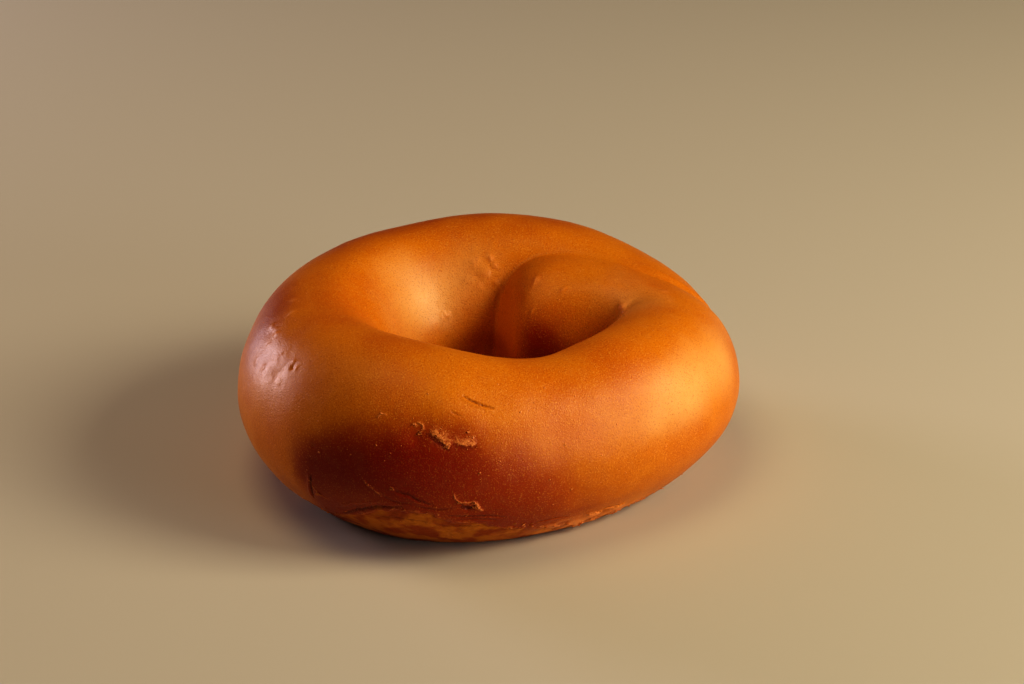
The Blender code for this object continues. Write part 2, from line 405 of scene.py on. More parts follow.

# The upper edge of the deep browning and painted shade low on the front: ring angle from the front,
# section angle.
BROWNING_AND_SHADE_TOP = (
    (-50.0, 14.0),
    (-41.0, 20.0),
    (-30.0, 33.0),
    (-18.0, 43.0),
    (-7.0, 41.0),
    (5.0, 30.0),
    (20.0, 18.0),
    (45.0, 10.0),
)
BROWNING_AND_SHADE_COMES = (-51.0, -39.0)  # from the left, in ring angles from the front
BROWNING_AND_SHADE_GOES = (-28.0, 58.0)  # towards the right
BROWNING_AND_SHADE_BORDER = (19.0, 8.0, (-15.0, 20.0))  # softness of its top, and more of it towards the right
BROWNING_AND_SHADE_LIGHTER = (0.30, (-12.0, 14.0), (-8.0, 14.0))  # how much, downwards, and towards the left

# Places darkened with painted shade: in the hole under the lobe, low on the front and sides, and round
# the back and the left crown: ring angle, section angle, their reaches, how dark.
PAINTED_SHADE_PLACES = (
    (38.0, 160.0, 24.0, 24.0, 0.80),
    (85.0, 174.0, 30.0, 14.0, 0.35),
    (-66.0, -36.0, 30.0, 15.0, 0.42),
    (-140.0, -22.0, 18.0, 18.0, 0.28),
    (178.0, 52.0, 42.0, 36.0, 0.52),
    (118.0, 66.0, 84.0, 36.0, 0.50),
    (62.0, -16.0, 66.0, 34.0, 0.42),
    (165.0, -20.0, 62.0, 34.0, 0.50),
)

# Painted light, where the skin is painted paler: painted light on the lit wall of the hole and beside
# the lobe, and a painted highlight on the right flank: ring angle, section angle, their reaches, how
# strong.
PAINTED_LIGHT_PLACES = (
    (131.0, 137.0, 52.0, 42.0, 0.95),
    (104.0, 126.0, 30.0, 26.0, 0.30),
    (14.0, 102.0, 30.0, 36.0, 0.32),
    (-22.0, 36.0, 42.0, 34.0, 0.78),
)


def edge_section(ring):
    """The section angle of the crust's lower edge at a ring angle."""
    rings, sections = zip(*CRUST_EDGE)
    return np.interp(ring, rings, sections, period=360.0)


def below_edge(crust):
    """Millimetres below the crust's ragged edge, outside or in the hole: positive on the foot."""
    outside = (edge_section(crust.ring) - crust.section) * crust.along_scale
    inside = (crust.section - EDGE_IN_HOLE) * crust.along_scale
    distance = np.maximum(outside, inside)
    near = np.abs(distance) < EDGE_CUT_OFF
    ragged = np.zeros(len(distance))
    ragged[near] = layered(crust.even_points()[near], EDGE_RAGGEDNESS)
    return distance + ragged


def seam_ring(section):
    """The ring angle at which the seam crosses each section angle."""
    towards_outside = np.tanh((np.cos(np.radians(section)) + SEAM_CROSSING) / SEAM_SOFTNESS)
    sweep = np.where(towards_outside > 0.0, SEAM_SWEEP_OUTSIDE, SEAM_SWEEP_IN_HOLE)
    return SEAM_MIDDLE - sweep * towards_outside


def from_seam(crust):
    """Millimetres from the seam, square to it."""
    step = 0.5
    slope = (seam_ring(crust.section + step) - seam_ring(crust.section - step)) / (2 * step)
    slant = np.hypot(1.0, slope * crust.across_scale / crust.along_scale)
    return turned_by(crust.ring, seam_ring(crust.section)) * crust.across_scale / slant


def streaks(crust, length, breadth, start):
    """Smooth noise of about -1 to 1 drawn out along the ring: length and breadth of its waves."""
    along = np.radians(crust.ring) * OUTER_RADIUS["front"] / length
    across = np.radians(crust.section) * ROPE_RADIUS / breadth
    return np.array([noise.noise(Vector((a, b, start))) for a, b in zip(along, across)])


def tapered(run):
    """1 in the middle of a path, falling to 0 at both of its ends."""
    return np.sqrt(np.clip(4 * run * (1 - run), 0.0, 1.0))


def wanted_level(crust):
    """How many times the coarse mesh is halved at each point."""
    level = np.zeros(len(crust.ring))
    for (ring, section), (ring_reach, section_reach), zone_level in FINE_ZONES:
        away = np.hypot(
            turned_by(crust.ring, ring) / ring_reach, turned_by(crust.section, section) / section_reach
        )
        level = np.where(away < 1.0, np.maximum(level, zone_level), level)
    near = np.full(len(level), np.inf)
    for path, width, *_ in CRACKS + FLAPS + RIDGES:
        near = np.minimum(near, np.abs(crust.from_path(path)[0]) - width)
    above, reach, edge_level, front_level = EDGE_ZONE
    edge = (edge_section(crust.ring) - crust.section) * crust.along_scale
    on_edge = (level >= front_level) & (np.abs(edge + above) < reach)
    level = np.where(on_edge, np.maximum(level, edge_level), level)
    for reach, close_level in CLOSE_ZONES:
        level = np.where(near < reach, np.maximum(level, close_level), level)
    return level


def crust_sheet():
    """A flat sheet whose x and y are the two angles, finer where the crust needs it."""
    sheet = bmesh.new()
    bmesh.ops.create_grid(sheet, x_segments=COLUMNS, y_segments=ROWS, size=0.5)
    start_ring, start_section = SHEET_START
    for vertex in sheet.verts:
        vertex.co.x = start_ring + 360.0 * (vertex.co.x + 0.5)
        vertex.co.y = start_section + 360.0 * (vertex.co.y + 0.5)
    for level in range(1, FINEST_LEVEL + 1):
        middles = np.array([face.calc_center_median()[:2] for face in sheet.faces])
        wanted = wanted_level(Crust(middles[:, 0], middles[:, 1])) >= level
        edges = {edge for face, fine in zip(sheet.faces, wanted) if fine for edge in face.edges}
        bmesh.ops.subdivide_edges(sheet, edges=list(edges), cuts=1, use_grid_fill=True)
    return sheet


def smooth_cad_copy():
    """A search tree over a smoothed copy of the CAD node, whose own triangles stay as they are."""
    copy = bmesh.new()
    copy.from_mesh(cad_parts["bagel"].data)
    bmesh.ops.remove_doubles(copy, verts=copy.verts, dist=CAD_WELD)
    limit = math.radians(PAIRING_ANGLE)
    bmesh.ops.join_triangles(
        copy, faces=copy.faces, angle_face_threshold=limit, angle_shape_threshold=limit
    )
    mesh = bpy.data.meshes.new("smooth_cad_copy")
    copy.to_mesh(mesh)
    copy.free()
    helper = bpy.data.objects.new("smooth_cad_copy", mesh)
    bpy.context.scene.collection.objects.link(helper)
    smoothing = helper.modifiers.new("smoothing", "SUBSURF")
    smoothing.levels = SMOOTHING_LEVELS
    smoothing.render_levels = SMOOTHING_LEVELS
    tree = BVHTree.FromObject(helper, bpy.context.evaluated_depsgraph_get())
    bpy.data.objects.remove(helper)
    return tree


def laid_on(tree, crust):
    """Each point's place on a surface, in metres, and the surface's normal there."""
    radius, height = rope_middle(crust.ring)
    ring, section = np.radians(crust.ring), np.radians(crust.section)
    starts = np.stack(
        [
            radius * np.cos(ring) + HOLE_MIDDLE[0],
            radius * np.sin(ring) + HOLE_MIDDLE[1],
            height,
        ],
        axis=1,
    )
    outwards = np.stack(
        [np.cos(section) * np.cos(ring), np.cos(section) * np.sin(ring), np.sin(section)], axis=1
    )
    hits = [tree.ray_cast(Vector(s) * MM, Vector(d)) for s, d in zip(starts, outwards)]
    return np.array([hit[0] for hit in hits]), np.array([hit[1] for hit in hits])


class Relief:
    """What the skin's features add to the CAD shape, in millimetres, and where they tint it."""

    def __init__(self, crust):
        self.crust = crust
        self.points = crust.even_points()
        self.crumbs = layered(self.points, CRUMBS)
        self.below = below_edge(crust)
        self.height = layered(self.points, WAVES)
        self.torn = np.zeros(len(self.height))
        self.painted_shade = np.zeros(len(self.height))

    def tear(self, paleness, share):
        """Skin is torn, or a blister's top is painted with a highlight, where this share of the
        paleness beats what is there.
        """
        self.torn = np.maximum(self.torn, paleness * np.clip(share, 0.0, 1.0))

    def lumps(self):
        for ring, section, reach, tall in LUMPS:
            self.height += tall * hill(self.crust.from_spot(ring, section), reach)
        rumples = layered(self.points, RUMPLES)
        for ring, section, reach, tall in RUMPLED:
            self.height += tall * rumples * hill(self.crust.from_spot(ring, section), reach)

    def blisters(self):
        for ring, section, radius, tall, pale in BLISTERS:
            away = self.crust.from_spot(ring, section, BLISTER_STRAY * radius)
            dome = hill(away, BLISTER_REACH * radius)
            self.height += BLISTER_SHARE * tall * dome
            # A blister's pale top is partly pale skin and partly a painted highlight where it catches
            # the light.
            self.tear(pale, dome)

    def cracks(self):
        change, least, most = CRACK_UNEVENNESS
        lip_off, lip_reach = CRACK_LIP
        shade_strength, deepest_shade = CRACK_PAINTED_SHADE
        for path, width, depth, lip in CRACKS:
            across, run = self.crust.from_path(path, CRACK_STRAY * width)
            ends = tapered(run) * np.clip(1.0 + change * self.crumbs, least, most)
            close = np.abs(across) < CRACK_CUT_OFF * width
            cut = np.where(close, hill(across, CRACK_REACH * width), 0.0) * ends
            beside = hill(across + lip_off * width, lip_reach * width)
            self.height += lip * beside * tapered(run) - depth * cut
            # Painted shade in the crack.
            self.painted_shade = np.maximum(self.painted_shade, cut * min(deepest_shade, shade_strength * depth))

    def flaps(self):
        hollow_off, hollow_reach = FLAP_HOLLOW
        paleness, change = FLAP_PALENESS
        shade_strength, deepest_shade = FLAP_PAINTED_SHADE
        for path, width, tall, drop, pale in FLAPS:
            across, run = self.crust.from_path(path, FLAP_STRAY)
            above = hill(across, FLAP_REACH * width)
            lifted = np.where(across > 0.0, above, rise(across, -FLAP_EDGE, 0.0))
            lifted = np.where(np.abs(across) < FLAP_CUT_OFF * width, lifted, 0.0) * tapered(run)
            under = hill(across + hollow_off, hollow_reach) * tapered(run)
            self.height += tall * lifted * (1.0 + FLAP_UNEVENNESS * self.crumbs) - drop * under
            self.tear(pale, lifted * (paleness + change * self.crumbs))
            # Painted shade in the hollow under the torn edge.
            self.painted_shade = np.maximum(self.painted_shade, min(deepest_shade, shade_strength * drop) * under)

    def ridges(self):
        height_share, pale_share = RIDGE_SHARE
        paleness, change = RIDGE_PALENESS
        for path, width, tall, pale in RIDGES:
            across, run = self.crust.from_path(path, RIDGE_STRAY)
            close = np.abs(across) < RIDGE_CUT_OFF * width
            crest = np.where(close, hill(across, RIDGE_REACH * width), 0.0) * tapered(run)
            self.height += height_share * tall * crest * (1.0 + RIDGE_UNEVENNESS * self.crumbs)
            self.tear(pale_share * pale, crest * (paleness + change * self.crumbs))

    def foot(self):
        """The step down to the wrinkled foot, under the crust's edge."""
        wrinkle = sum(
            share * wander(self.points * (1.0, 1.0, flatness), size)
            for flatness, size, share in FOOT_WRINKLES
        )
        self.height += rise(self.below, *FOOT_STEP_ENDS) * (FOOT_WRINKLE * wrinkle - FOOT_STEP)

    def edge(self):
        """The curl of skin along the crust's edge."""
        outside = rise(-self.crust.section, *EDGE_OUTSIDE)
        flaking = np.clip(EDGE_FLAKED + layered(self.points, EDGE_FLAKING), 0.0, 1.0) * outside
        above, reach, tall = EDGE_LIP
        lip = hill(self.below + above, reach) * flaking
        self.height += tall * lip * (1.0 + EDGE_LIP_UNEVENNESS * self.crumbs)
        palest, paleness, change = EDGE_LIP_PALENESS
        self.tear(palest, lip * (paleness + change * self.crumbs))

    def flaky_strip(self):
        start, full, fading, end = FLAKY_SECTIONS
        section = self.crust.section
        strip = hill(turned_by(self.crust.ring, FLAKY_RINGS[0]), FLAKY_RINGS[1])
        strip = strip * rise(section, start, full) * (1.0 - rise(section, fading, end))
        covered, by_streaks, by_crumbs = FLAKY_PATCHES
        drawn_out = by_streaks * streaks(self.crust, *FLAKY_STREAKS)
        patches = np.clip(covered + drawn_out + by_crumbs * self.crumbs, 0.0, 1.0)
        of_patches, of_crumbs, sunk = FLAKY_HEIGHTS
        self.height += strip * (of_patches * patches + of_crumbs * self.crumbs - sunk)
        self.tear(1.0, strip * patches)

    def foot_tint(self):
        """1 on the tan foot, with islands of crust along its upper border."""
        islands = sum(share * streaks(self.crust, *waves) for *waves, share in FOOT_ISLANDS)
        return rise(self.below + FOOT_ISLAND_REACH * islands, *FOOT_TINT_ENDS)


def relief(crust):
    """The whole relief of the skin."""
    skin = Relief(crust)
    skin.lumps()
    skin.blisters()
    skin.cracks()
    skin.flaps()
    skin.ridges()
    skin.foot()
    skin.edge()
    skin.flaky_strip()
    skin.height += fold(crust)
    return skin


def fold(crust):
    """The fold where the outer end of the rope laps over the other, crisp only outside."""
    start, full, fading, end = FOLD_SECTIONS
    shown = rise(crust.section, start, full) * (1.0 - rise(crust.section, fading, end))
    away = from_seam(crust) + layered(crust.even_points(), FOLD_STRAY)
    shown = np.where(np.abs(away) < FOLD_CUT_OFF, shown, 0.0)
    groove, depth = FOLD_GROOVE
    lip, reach, tall = FOLD_LIP
    return shown * (tall * hill(away - lip, reach) - depth * hill(away, groove))


def browning_and_shade(crust):
    """How dark each place is painted, 0 to 1: real browning with painted shade, deepest low on the
    front, left of the middle, and painted shade in other shaded places.
    """
    points = crust.even_points()
    ring = turned_by(crust.ring + layered(points, BROWNING_AND_SHADE_STRAY), -90.0)
    section = crust.section + layered(points, BROWNING_AND_SHADE_SWAY)
    top = np.interp(ring, *zip(*BROWNING_AND_SHADE_TOP))
    least, more, to_the_right = BROWNING_AND_SHADE_BORDER
    softness = least + more * rise(ring, *to_the_right)
    # Painted shade low on the front, where it faces away from the lights, together with its real
    # browning.
    low_front_browning_and_shade = rise(ring, *BROWNING_AND_SHADE_COMES) * (1.0 - rise(ring, *BROWNING_AND_SHADE_GOES))
    lighter, downwards, to_the_left = BROWNING_AND_SHADE_LIGHTER
    low_front_browning_and_shade = low_front_browning_and_shade * (1.0 - lighter * rise(-section, *downwards) * rise(-ring, *to_the_left))
    browned_and_shaded = low_front_browning_and_shade * (1.0 - rise((section - top) / softness, -1.0, 1.0))
    return np.maximum(browned_and_shaded, spread_over(crust, PAINTED_SHADE_PLACES))


def spread_over(crust, places):
    """How strongly each point shares in a list of broad places with straying borders, 0 to 1."""
    total = np.zeros(len(crust.ring))
    stray = layered(crust.even_points(), PLACE_STRAY)
    for ring, section, ring_reach, section_reach, share in places:
        away = np.hypot(
            turned_by(crust.ring, ring) / ring_reach, turned_by(crust.section, section) / section_reach
        )
        total = np.maximum(total, share * (1.0 - rise(away + stray, 0.0, 1.0)))
    return total


def field_of(mesh, name, values):
    mesh.attributes.new(name, "FLOAT", "POINT").data.foreach_set("value", values.astype(np.float32))


def crust():
    """The browned crust: the CAD ring's shape with the relief of its skin."""
    sheet = crust_sheet()
    angles = np.array([vertex.co[:2] for vertex in sheet.verts])
    places = Crust(angles[:, 0], angles[:, 1])
    base = laid_on(smooth_cad_copy(), places)[0]
    mesh = bpy.data.meshes.new("crust")
    for vertex, place in zip(sheet.verts, base):
        vertex.co = place
    sheet.to_mesh(mesh)
    sheet.free()
    normals = np.empty(len(base) * 3, np.float32)
    mesh.vertex_normals.foreach_get("vector", normals)
    places.roughen()
    skin = relief(places)
    above_tray = rise(base[:, 2] / MM, 0.0, FOOT_REACH)
    lifted = (skin.height - BELOW_CAD_SKIN) * above_tray * MM
    moved = base + normals.reshape(-1, 3) * lifted[:, None]
    low, high = (np.array(corner) for corner in cad_box)
    moved = np.clip(moved, low + (BOX_MARGIN * MM, BOX_MARGIN * MM, 0.0), high - BOX_MARGIN * MM)
    mesh.vertices.foreach_set("co", moved.astype(np.float32).ravel())
    field_of(mesh, "torn", skin.torn)
    # The crack field is painted shade in the cracks and in the hollows under the flaps.
    field_of(mesh, "crack", skin.painted_shade)
    field_of(mesh, "foot", skin.foot_tint())
    # The browning field is real browning together with painted shade low on the front and in shaded
    # places.
    field_of(mesh, "browning_and_shade", browning_and_shade(places))
    # The paleness field is painted light: the lit wall of the hole, beside the lobe, and a painted
    # highlight on the right flank.
    field_of(mesh, "paleness", spread_over(places, PAINTED_LIGHT_PLACES))
    welded = bmesh.new()
    welded.from_mesh(mesh)
    bmesh.ops.remove_doubles(welded, verts=welded.verts, dist=SHEET_WELD)
    bmesh.ops.recalc_face_normals(welded, faces=welded.faces)
    welded.to_mesh(mesh)
    welded.free()
    mesh.shade_smooth()
    piece = bpy.data.objects.new("crust", mesh)
    bpy.context.scene.collection.objects.link(piece)
    return piece


class Shade:
    """A shader value on which Python arithmetic adds Math nodes."""

    def __init__(self, finish, socket):
        self.finish = finish
        self.socket = socket

    def maths(self, operation, *values):
        node = self.finish.node("ShaderNodeMath", {"operation": operation}, dict(enumerate(values)))
        return Shade(self.finish, node.outputs[0])

    def __add__(self, other):
        return self.maths("ADD", self, other)

    def __sub__(self, other):
        return self.maths("SUBTRACT", self, other)

    def __mul__(self, other):
        return self.maths("MULTIPLY", self, other)

    def __rsub__(self, other):
        return self.maths("SUBTRACT", other, self)

    __radd__ = __add__
    __rmul__ = __mul__

    def ramp(self, start, end):
        """0 before start, 1 after end."""
        sockets = {"Value": self, "From Min": start, "From Max": end}
        node = self.finish.node("ShaderNodeMapRange", {"interpolation_type": "SMOOTHSTEP"}, sockets)
        return Shade(self.finish, node.outputs["Result"])


class Nodes:
    """A node tree under construction."""

    def __init__(self, tree):
        self.tree = tree

    def node(self, kind, settings=None, sockets=None):
        """Adds a node: its settings first, then the values or links of its sockets."""
        node = self.tree.nodes.new(kind)
        for name, value in (settings or {}).items():
            setattr(node, name, value)
        for name, value in (sockets or {}).items():
            self.set(node.inputs[name], value)
        return node

    def set(self, socket, value):
        if isinstance(value, Shade):
            value = value.socket
        if isinstance(value, bpy.types.NodeSocket):
            self.tree.links.new(value, socket)
        else:
            socket.default_value = value


class Finish(Nodes):
    """A material under construction."""

    def __init__(self, name):
        self.material = bpy.data.materials.new(name)
        self.material.use_nodes = True
        super().__init__(self.material.node_tree)
        self.shader = self.tree.nodes["Principled BSDF"]
        self.object_place = self.node("ShaderNodeTexCoord").outputs["Object"]

    def noise(self, size, detail=3.0, roughness=0.55):
        """Noise of 0 to 1 whose clouds are this many millimetres."""
        sockets = {"Vector": self.object_place, "Scale": 1 / (size * MM)}
        sockets.update({"Detail": detail, "Roughness": roughness})
        return Shade(self, self.node("ShaderNodeTexNoise", {}, sockets).outputs["Fac"])

    def field(self, name):
        """A field stored on the piece's points."""
        return Shade(self, self.node("ShaderNodeAttribute", {"attribute_name": name}).outputs["Fac"])

    def mix(self, factor, first, second):
        """A colour between two colours."""
        node = self.node("ShaderNodeMix", {"data_type": "RGBA"})
        self.set(node.inputs["Factor"], factor)
        self.set(node.inputs[6], first)
        self.set(node.inputs[7], second)
        return node.outputs[2]

    def bump(self, height, distance, strength=1.0, below=None):
        """A normal bent by a height of 0 to 1 that stands for this many millimetres."""
        sockets = {"Height": height, "Distance": distance * MM, "Strength": strength}
        if below is not None:
            sockets["Normal"] = below
        return self.node("ShaderNodeBump", {}, sockets).outputs["Normal"]


GOLDEN = (0.66, 0.208, 0.006, 1.0)
AMBER = (0.60, 0.160, 0.003, 1.0)
# Painted light for the lit wall of the hole and a painted highlight on the right flank.
PAINTED_LIGHT_GOLD = (0.86, 0.47, 0.16, 1.0)
# These two carry the browning and its painted shade; red-brown also colours the dark grain dots.
RED_BROWN = (0.34, 0.045, 0.001, 1.0)
DEEP_BROWN = (0.215, 0.0070, 0.0003, 1.0)
PALE_SKIN = (0.88, 0.33, 0.09, 1.0)
# Pale grain dots, partly painted glints.
DOT_TAN_AND_GLINT = (0.80, 0.34, 0.05, 1.0)
FOOT_TAN = (0.52, 0.165, 0.010, 1.0)
FOOT_BROWN = (0.33, 0.060, 0.002, 1.0)
# Painted shade for the cracks and the hollows under the flaps.
CRACK_SHADE_BROWN = (0.10, 0.010, 0.001, 1.0)
CRUST_GLOSS = 0.26

# Noises of the skin: size of the clouds in millimetres, detail, roughness.
CLOUDS = (16.0, 2.0)
MOTTLE = (2.4, 4.0, 0.6)
FINE_GRAIN = (0.30, 1.0, 0.5)
FOOT_CLOUDS = (4.5, 2.0, 0.5)
DENTS = (1.3, 3.0)
# Where each colour comes in, from and to.
AMBER_FROM = (0.30, 0.75)
RED_BROWN_FROM = (-0.10, 0.65)
DEEP_BROWN_FROM = (0.40, 1.10)
DOTS_FROM = (0.55, 0.72)
FOOT_BROWN_FROM = (0.40, 0.60)
BROWNING_AND_SHADE_NOISE = (0.30, 0.20)  # how much clouds and mottle change the browning and its painted shade
# How much mottle changes the painted light.
PAINTED_LIGHT_NOISE = 0.2
PALE_DOTS_AND_GLINTS = (0.50, 0.38)  # pale grain dots, partly painted glints: on golden skin, and how much less where browning and painted shade are deep
DARK_DOTS = 0.36
SKIN_ROUGHNESS = 0.36
ROUGHNESS_BY = {"mottle": 0.16, "grain": 0.08, "foot": 0.30, "torn": 0.06}
GRAIN_DEPTH = 0.055
DENT_DEPTH = (0.05, 0.6)  # in millimetres, and how strongly it shows


def crust_finish():
    """Satin baked skin: golden to deep brown, with painted shade low on the front, in the cracks and in
    the hole, painted light on the hole's wall and the right flank, fine grain with pale dots that are
    partly painted glints, pale torn skin with painted highlights on blisters, and a tan foot.
    """
    finish = Finish("baked_crust")
    clouds = finish.noise(*CLOUDS)
    mottle = finish.noise(*MOTTLE)
    grain = finish.noise(*FINE_GRAIN)
    by_clouds, by_mottle = BROWNING_AND_SHADE_NOISE
    # Browning together with painted shade: golden skin turns red-brown and deep brown.
    browned_and_shaded = finish.field("browning_and_shade") + (clouds - 0.5) * by_clouds + (mottle - 0.5) * by_mottle
    colour = finish.mix(clouds.ramp(*AMBER_FROM), GOLDEN, AMBER)
    colour = finish.mix(browned_and_shaded.ramp(*RED_BROWN_FROM), colour, RED_BROWN)
    colour = finish.mix(browned_and_shaded.ramp(*DEEP_BROWN_FROM), colour, DEEP_BROWN)
    # Painted light: the lit wall of the hole and a painted highlight on the right flank.
    pale = finish.field("paleness") + (mottle - 0.5) * PAINTED_LIGHT_NOISE
    colour = finish.mix(pale, colour, PAINTED_LIGHT_GOLD)
    on_golden, less = PALE_DOTS_AND_GLINTS
    # Pale grain dots, partly painted glints on the grain.
    dots_and_glints = grain.ramp(*DOTS_FROM) * (on_golden - less * finish.field("browning_and_shade"))
    colour = finish.mix(dots_and_glints, colour, DOT_TAN_AND_GLINT)
    colour = finish.mix((1.0 - grain).ramp(*DOTS_FROM) * DARK_DOTS, colour, RED_BROWN)
    tan = finish.mix(finish.noise(*FOOT_CLOUDS).ramp(*FOOT_BROWN_FROM), FOOT_TAN, FOOT_BROWN)
    colour = finish.mix(finish.field("foot"), colour, tan)
    # Pale torn skin, and the painted highlights on blister tops.
    colour = finish.mix(finish.field("torn"), colour, PALE_SKIN)
    # Painted shade in the cracks and in the hollows under the flaps.
    colour = finish.mix(finish.field("crack"), colour, CRACK_SHADE_BROWN)
    finish.set(finish.shader.inputs["Base Color"], colour)
    finish.set(finish.shader.inputs["Specular IOR Level"], CRUST_GLOSS)
    rough = SKIN_ROUGHNESS + (mottle - 0.5) * ROUGHNESS_BY["mottle"] + grain * ROUGHNESS_BY["grain"]
    rough = rough + finish.field("foot") * ROUGHNESS_BY["foot"]
    rough = rough + finish.field("torn") * ROUGHNESS_BY["torn"]
    finish.set(finish.shader.inputs["Roughness"], rough)
    fine = finish.bump(grain, GRAIN_DEPTH)
    finish.set(finish.shader.inputs["Normal"], finish.bump(finish.noise(*DENTS), *DENT_DEPTH, fine))
    return finish.material


GRAIN_BROWN = (0.60, 0.21, 0.035, 1.0)
FLAKE_TAN = (0.62, 0.20, 0.025, 1.0)
BAKED_AND_SHADED_BIT = (0.40, 0.085, 0.006, 1.0)
BIT_MOTTLE_FROM = (0.4, 0.6)
BIT_BROWNING_AND_SHADE = 0.85
BIT_ROUGHNESS = (0.45, 0.30)  # at least, and how much the mottle adds
BIT_DENTS = (0.12, 2.0)
BIT_DENT_DEPTH = 0.02


def bits_finish(name, first, second, size):
    """Dry skin between two colours, mottled at this size, darker where the crust's browning and painted
    shade are deep.
    """
    finish = Finish(name)
    mottle = finish.noise(size, detail=2.0)
    colour = finish.mix(mottle.ramp(*BIT_MOTTLE_FROM), first, second)
    colour = finish.mix(finish.field("browning_and_shade") * BIT_BROWNING_AND_SHADE, colour, BAKED_AND_SHADED_BIT)
    finish.set(finish.shader.inputs["Base Color"], colour)
    least, more = BIT_ROUGHNESS
    finish.set(finish.shader.inputs["Roughness"], least + mottle * more)
    dents = finish.bump(finish.noise(*BIT_DENTS), BIT_DENT_DEPTH)
    finish.set(finish.shader.inputs["Normal"], dents)
    return finish.material


# Single specks baked onto the skin: ring angle, section angle, size.
SPECKS = (
    (-105.7, 59.0, 0.17),
    (-108.0, 45.0, 0.15),
    (-115.4, 28.0, 0.17),
    (-112.0, 25.0, 0.13),
    (-80.4, 54.0, 0.22),
    (-86.5, 71.0, 0.18),
    (-94.3, 68.0, 0.15),
    (-71.3, 69.0, 0.20),
    (-62.3, 61.0, 0.16),
    (-68.8, 30.0, 0.22),
    (-91.6, 16.0, 0.20),
    (-86.7, 23.0, 0.17),
    (-73.7, 5.0, 0.24),
    (-67.3, -8.0, 0.20),
    (-72.5, -19.0, 0.15),
    (-121.0, 20.0, 0.16),
    (-129.0, 16.0, 0.22),
    (-58.0, 16.0, 0.17),
    (-52.0, 36.0, 0.16),
)
MOST_GRAINS = (2400, 1100)  # in front, and all round
GRAIN_SEED = 5
GRAIN_FRONT = ((-84.0, 24.0), (46.0, 50.0))  # ring and section angle of their middle, their reach
GRAIN_FRONT_REACH = 1.1
GRAIN_CLUSTERED = (0.45, 0.05)  # share kept on average, and between clusters
GRAIN_SIZE = (0.05, 0.11)
GRAIN_OWN_SIZE = (0.7, 1.2)  # each one's share of its size
GRAINS_ON_TORN_SKIN = 5  # for each millimetre of a ridge or flap
FLAKE_SEED = 9
FLAKES_ON_EDGE = ((-84.0, -34.0, 46), (-180.0, 180.0, 80))  # from, to, how many
FLAKES_REACH = 3.5  # how far above the edge they lie
FLAKES_CROWDING = 1.5  # more than 1 crowds them towards the edge
FLAKES_ON_TORN_SKIN = 0.2
FLAKE_SIZE = (0.20, 0.42)
TRIES = 4  # for each place that may be kept
OPEN_SECTIONS = (-60.0, 235.0)  # skin that doesn't lie on the tray
# Along torn skin: the part of a path with bits on it, their spread in its widths, how their
# number grows with its width, and the fewest.
STREWN_ENDS = (0.05, 0.95)
STREWN_SPREAD = 0.5
STREWN_BY_WIDTH = 1.4
STREWN_AT_LEAST = 2
WIDE_TEAR = 0.6  # past this width the bits lie above the torn edge
WIDE_TEAR_RISE = 14.0 / 6.0  # degrees of section for each millimetre of width
COPY_SPIN = 0.7  # radians each way
COPY_SIZES = (0.7, 1.3)
LEAF_WELD = 0.3  # of its thickness
LEAF_CURL = (0.16, 0.22, 0.0)  # how strongly a leaf curls up along and across
LEAF_THICKNESS = 0.16  # of half its length


def pick_places(draw, count, wanted):
    """Random places on the crust, kept as often as wanted(crust), 0 to 1, says."""
    tries = TRIES * count
    crust = Crust(draw.uniform(-180.0, 180.0, tries), draw.uniform(*OPEN_SECTIONS, tries))
    kept = np.flatnonzero(draw.uniform(0.0, 1.0, tries) < wanted(crust))[:count]
    return crust.ring[kept], crust.section[kept]


def clustered(crust):
    average, least = GRAIN_CLUSTERED
    return np.clip(average + layered(crust.even_points(), GRAIN_CLUSTERS), least, 1.0)


def in_front(crust):
    (ring, section), (ring_reach, section_reach) = GRAIN_FRONT
    away = np.hypot(
        turned_by(crust.ring, ring) / ring_reach, turned_by(crust.section, section) / section_reach
    )
    return clustered(crust) * hill(away, GRAIN_FRONT_REACH)


def along_torn_skin(draw, for_each_millimetre):
    """Places strewn along every ridge of torn skin and the scab's flaps."""
    rings, sections = [], []
    strips = [(path, width) for path, width, *_ in RIDGES]
    strips += [(path, width) for path, width, *_ in SCAB_FLAPS]
    for path, width in strips:
        corners = np.array(path)
        reach = rope_middle(corners[0, 0])[0] + ROPE_RADIUS * math.cos(math.radians(corners[0, 1]))
        scale = np.radians([reach, ROPE_RADIUS])
        steps = np.linalg.norm(np.diff(corners * scale, axis=0), axis=1)
        run = np.concatenate([[0.0], np.cumsum(steps)])
        wanted = int(for_each_millimetre * run[-1] * max(1.0, STREWN_BY_WIDTH * width))
        count = max(STREWN_AT_LEAST, wanted)
        spots = draw.uniform(*STREWN_ENDS, count) * run[-1]
        stray = draw.normal(0.0, STREWN_SPREAD * width, (count, 2)) / scale
        above = WIDE_TEAR_RISE * width if width > WIDE_TEAR else 0.0
        rings.append(np.interp(spots, run, corners[:, 0]) + stray[:, 0])
        sections.append(np.interp(spots, run, corners[:, 1]) + stray[:, 1] + above)
    return np.concatenate(rings), np.concatenate(sections)


def grain_places():
    """Ring angle, section angle and size in millimetres of every grain."""
    draw = np.random.default_rng(GRAIN_SEED)
    front = pick_places(draw, MOST_GRAINS[0], in_front)
    around = pick_places(draw, MOST_GRAINS[1], clustered)
    torn = along_torn_skin(draw, GRAINS_ON_TORN_SKIN)
    rings, sections = (np.concatenate(three) for three in zip(front, around, torn))
    sizes = draw.uniform(*GRAIN_SIZE, len(rings)) * draw.uniform(*GRAIN_OWN_SIZE, len(rings))
    specks = np.array(SPECKS)
    return (
        np.concatenate([rings, specks[:, 0]]),
        np.concatenate([sections, specks[:, 1]]),
        np.concatenate([sizes, specks[:, 2]]),
    )


